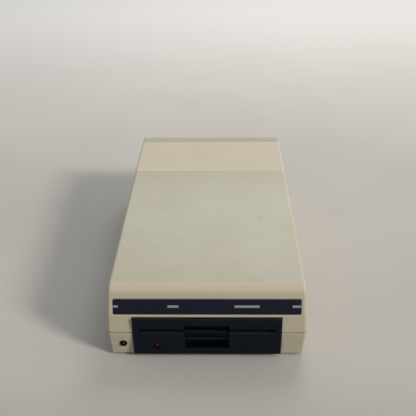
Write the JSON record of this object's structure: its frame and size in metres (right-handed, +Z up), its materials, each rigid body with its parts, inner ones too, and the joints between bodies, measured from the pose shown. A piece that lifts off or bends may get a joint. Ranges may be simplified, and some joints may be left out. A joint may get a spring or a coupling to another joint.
{
  "type": "external floppy disk drive",
  "caption": "Boxed desktop floppy disk drive: wedge-fronted two-part case, dark bezel with disk slot and latch lever, drive mechanism, boards and supply inside.",
  "frame": {"origin": "centre of the resting plane under the feet", "axes": "+X to the right seen from the front, +Y from the disk slot to the rear, +Z up"},
  "size_m": [0.2, 0.374, 0.097],
  "materials": {
    "case_plastic": "fine satin, aged cream",
    "lower_case_plastic": "fine satin, warm beige",
    "foot_rubber": "dull",
    "zinc_steel": "zinc plated",
    "nameplate_print": "dark navy, satin, with plain silver stripe runs",
    "bezel_plastic": "fine grain near-black",
    "lever_plastic": "smooth blue-black",
    "black_plastic": "moulded black",
    "green_lens": "tinted lens",
    "red_lens": "tinted lens",
    "bridge_steel": "zinc plated sheet",
    "bright_steel": "ground",
    "spring_steel": "drawn wire",
    "hub_plastic": "white moulding",
    "cast_aluminium": "die cast",
    "machined_aluminium": "turned",
    "belt_rubber": "ground flat",
    "motor_can": "drawn can",
    "head_ferrite": "polished",
    "felt": "pressed felt",
    "circuit_board": "solder resist",
    "board_parts": "sleeved cans",
    "core_iron": "varnished laminations",
    "winding_tape": "taped",
    "panel_steel": "plated sheet",
    "brass_pin": "plated"
  },
  "bodies": {
    "case": {"top_cover": "case_plastic", "bottom_case": "lower_case_plastic", "rubber_feet": "foot_rubber", "case_screws": "zinc_steel", "mechanism_screws": "zinc_steel", "board_screws": "zinc_steel", "panel_screws": "zinc_steel", "nameplate": "nameplate_print", "front_bezel": "bezel_plastic", "power_led_holder": "black_plastic", "disk_guide_left": "black_plastic", "disk_guide_right": "black_plastic", "write_protect_sensor": "black_plastic", "track_zero_stop": "black_plastic", "power_inlet": "black_plastic", "fuse_holder": "black_plastic", "switch_body": "black_plastic", "serial_sockets": "black_plastic", "chip_packages": "black_plastic", "board_connectors": "black_plastic", "power_semiconductors": "black_plastic", "power_led": "green_lens", "activity_led": "red_lens", "stepper_bracket": "bridge_steel", "board_rails": "bridge_steel", "bridge_pivot_pins": "bright_steel", "guide_rods": "bright_steel", "spindle_bearings": "bright_steel", "lift_springs": "spring_steel", "drive_chassis": "cast_aluminium", "heat_sink": "machined_aluminium", "drive_belt": "belt_rubber", "spindle_motor": "motor_can", "stepper_motor": "motor_can", "drive_board": "circuit_board", "main_board": "circuit_board", "drive_board_parts": "board_parts", "smoothing_capacitors": "board_parts", "transformer_core": "core_iron", "transformer_winding": "winding_tape", "rear_panel": "panel_steel", "inlet_pins": "brass_pin"},
    "clamp": {"clamp_bridge": "bridge_steel", "latch_lever": "lever_plastic", "lever_rivets": "zinc_steel", "clamp_hub_pin": "bright_steel", "hub_spring": "spring_steel"},
    "hub": {"clamp_hub": "hub_plastic"},
    "spindle": {"spindle": "machined_aluminium", "flywheel": "cast_aluminium"},
    "motor_rotor": {"motor_pulley": "bright_steel"},
    "carriage": {"head_carriage": "hub_plastic", "magnetic_head": "head_ferrite", "band_strip": "bright_steel"},
    "arm": {"pressure_arm": "hub_plastic", "felt_pad": "felt"},
    "capstan": {"capstan": "bright_steel"},
    "rocker": {"switch_rocker": "hub_plastic"},
    "fuse_cap": {"fuse_cap": "black_plastic"}
  },
  "joints": [
    {"name": "clamp_lift", "type": "hinge", "parent": "case", "child": "clamp", "pos_m": [0, -0.042, 0.034], "axis": [-1, 0, 0], "range_deg": [0, 6.2]},
    {"name": "spindle_spin", "type": "hinge", "parent": "case", "child": "spindle", "pos_m": [0, -0.115, 0.0333], "axis": [0, 0, 1], "continuous": true},
    {"name": "clamp_hub_spin", "type": "hinge", "parent": "clamp", "child": "hub", "pos_m": [0, -0.115, 0.0337], "axis": [0, 0, 1], "continuous": true},
    {"name": "motor_spin", "type": "hinge", "parent": "case", "child": "motor_rotor", "pos_m": [-0.048, -0.005, 0.0087], "axis": [0, 0, 1], "continuous": true},
    {"name": "carriage_slide", "type": "slide", "parent": "case", "child": "carriage", "axis": [0, -1, 0], "range_m": [0, 0.02]},
    {"name": "capstan_spin", "type": "hinge", "parent": "case", "child": "capstan", "pos_m": [0.036, -0.015, 0.025], "axis": [0, 0, 1], "range_deg": [0, 185]},
    {"name": "pressure_arm_lift", "type": "hinge", "parent": "carriage", "child": "arm", "pos_m": [0, -0.03785, 0.0395], "axis": [-1, 0, 0], "range_deg": [0, 13.5]},
    {"name": "rocker_tilt", "type": "hinge", "parent": "case", "child": "rocker", "pos_m": [0.0045, 0.1783, 0.028], "axis": [-1, 0, 0], "range_deg": [0, 16]},
    {"name": "fuse_cap_turn", "type": "hinge", "parent": "case", "child": "fuse_cap", "pos_m": [-0.015, 0.1813, 0.028], "axis": [0, 1, 0], "range_deg": [0, 60]}
  ],
  "couplings": [
    {"joint": "clamp_hub_spin", "follows": "spindle_spin", "ratio": 1},
    {"joint": "motor_spin", "follows": "spindle_spin", "ratio": 7.5},
    {"joint": "capstan_spin", "follows": "carriage_slide", "rad_per_m": 160},
    {"joint": "pressure_arm_lift", "follows": "clamp_lift", "ratio": 2.1}
  ]
}
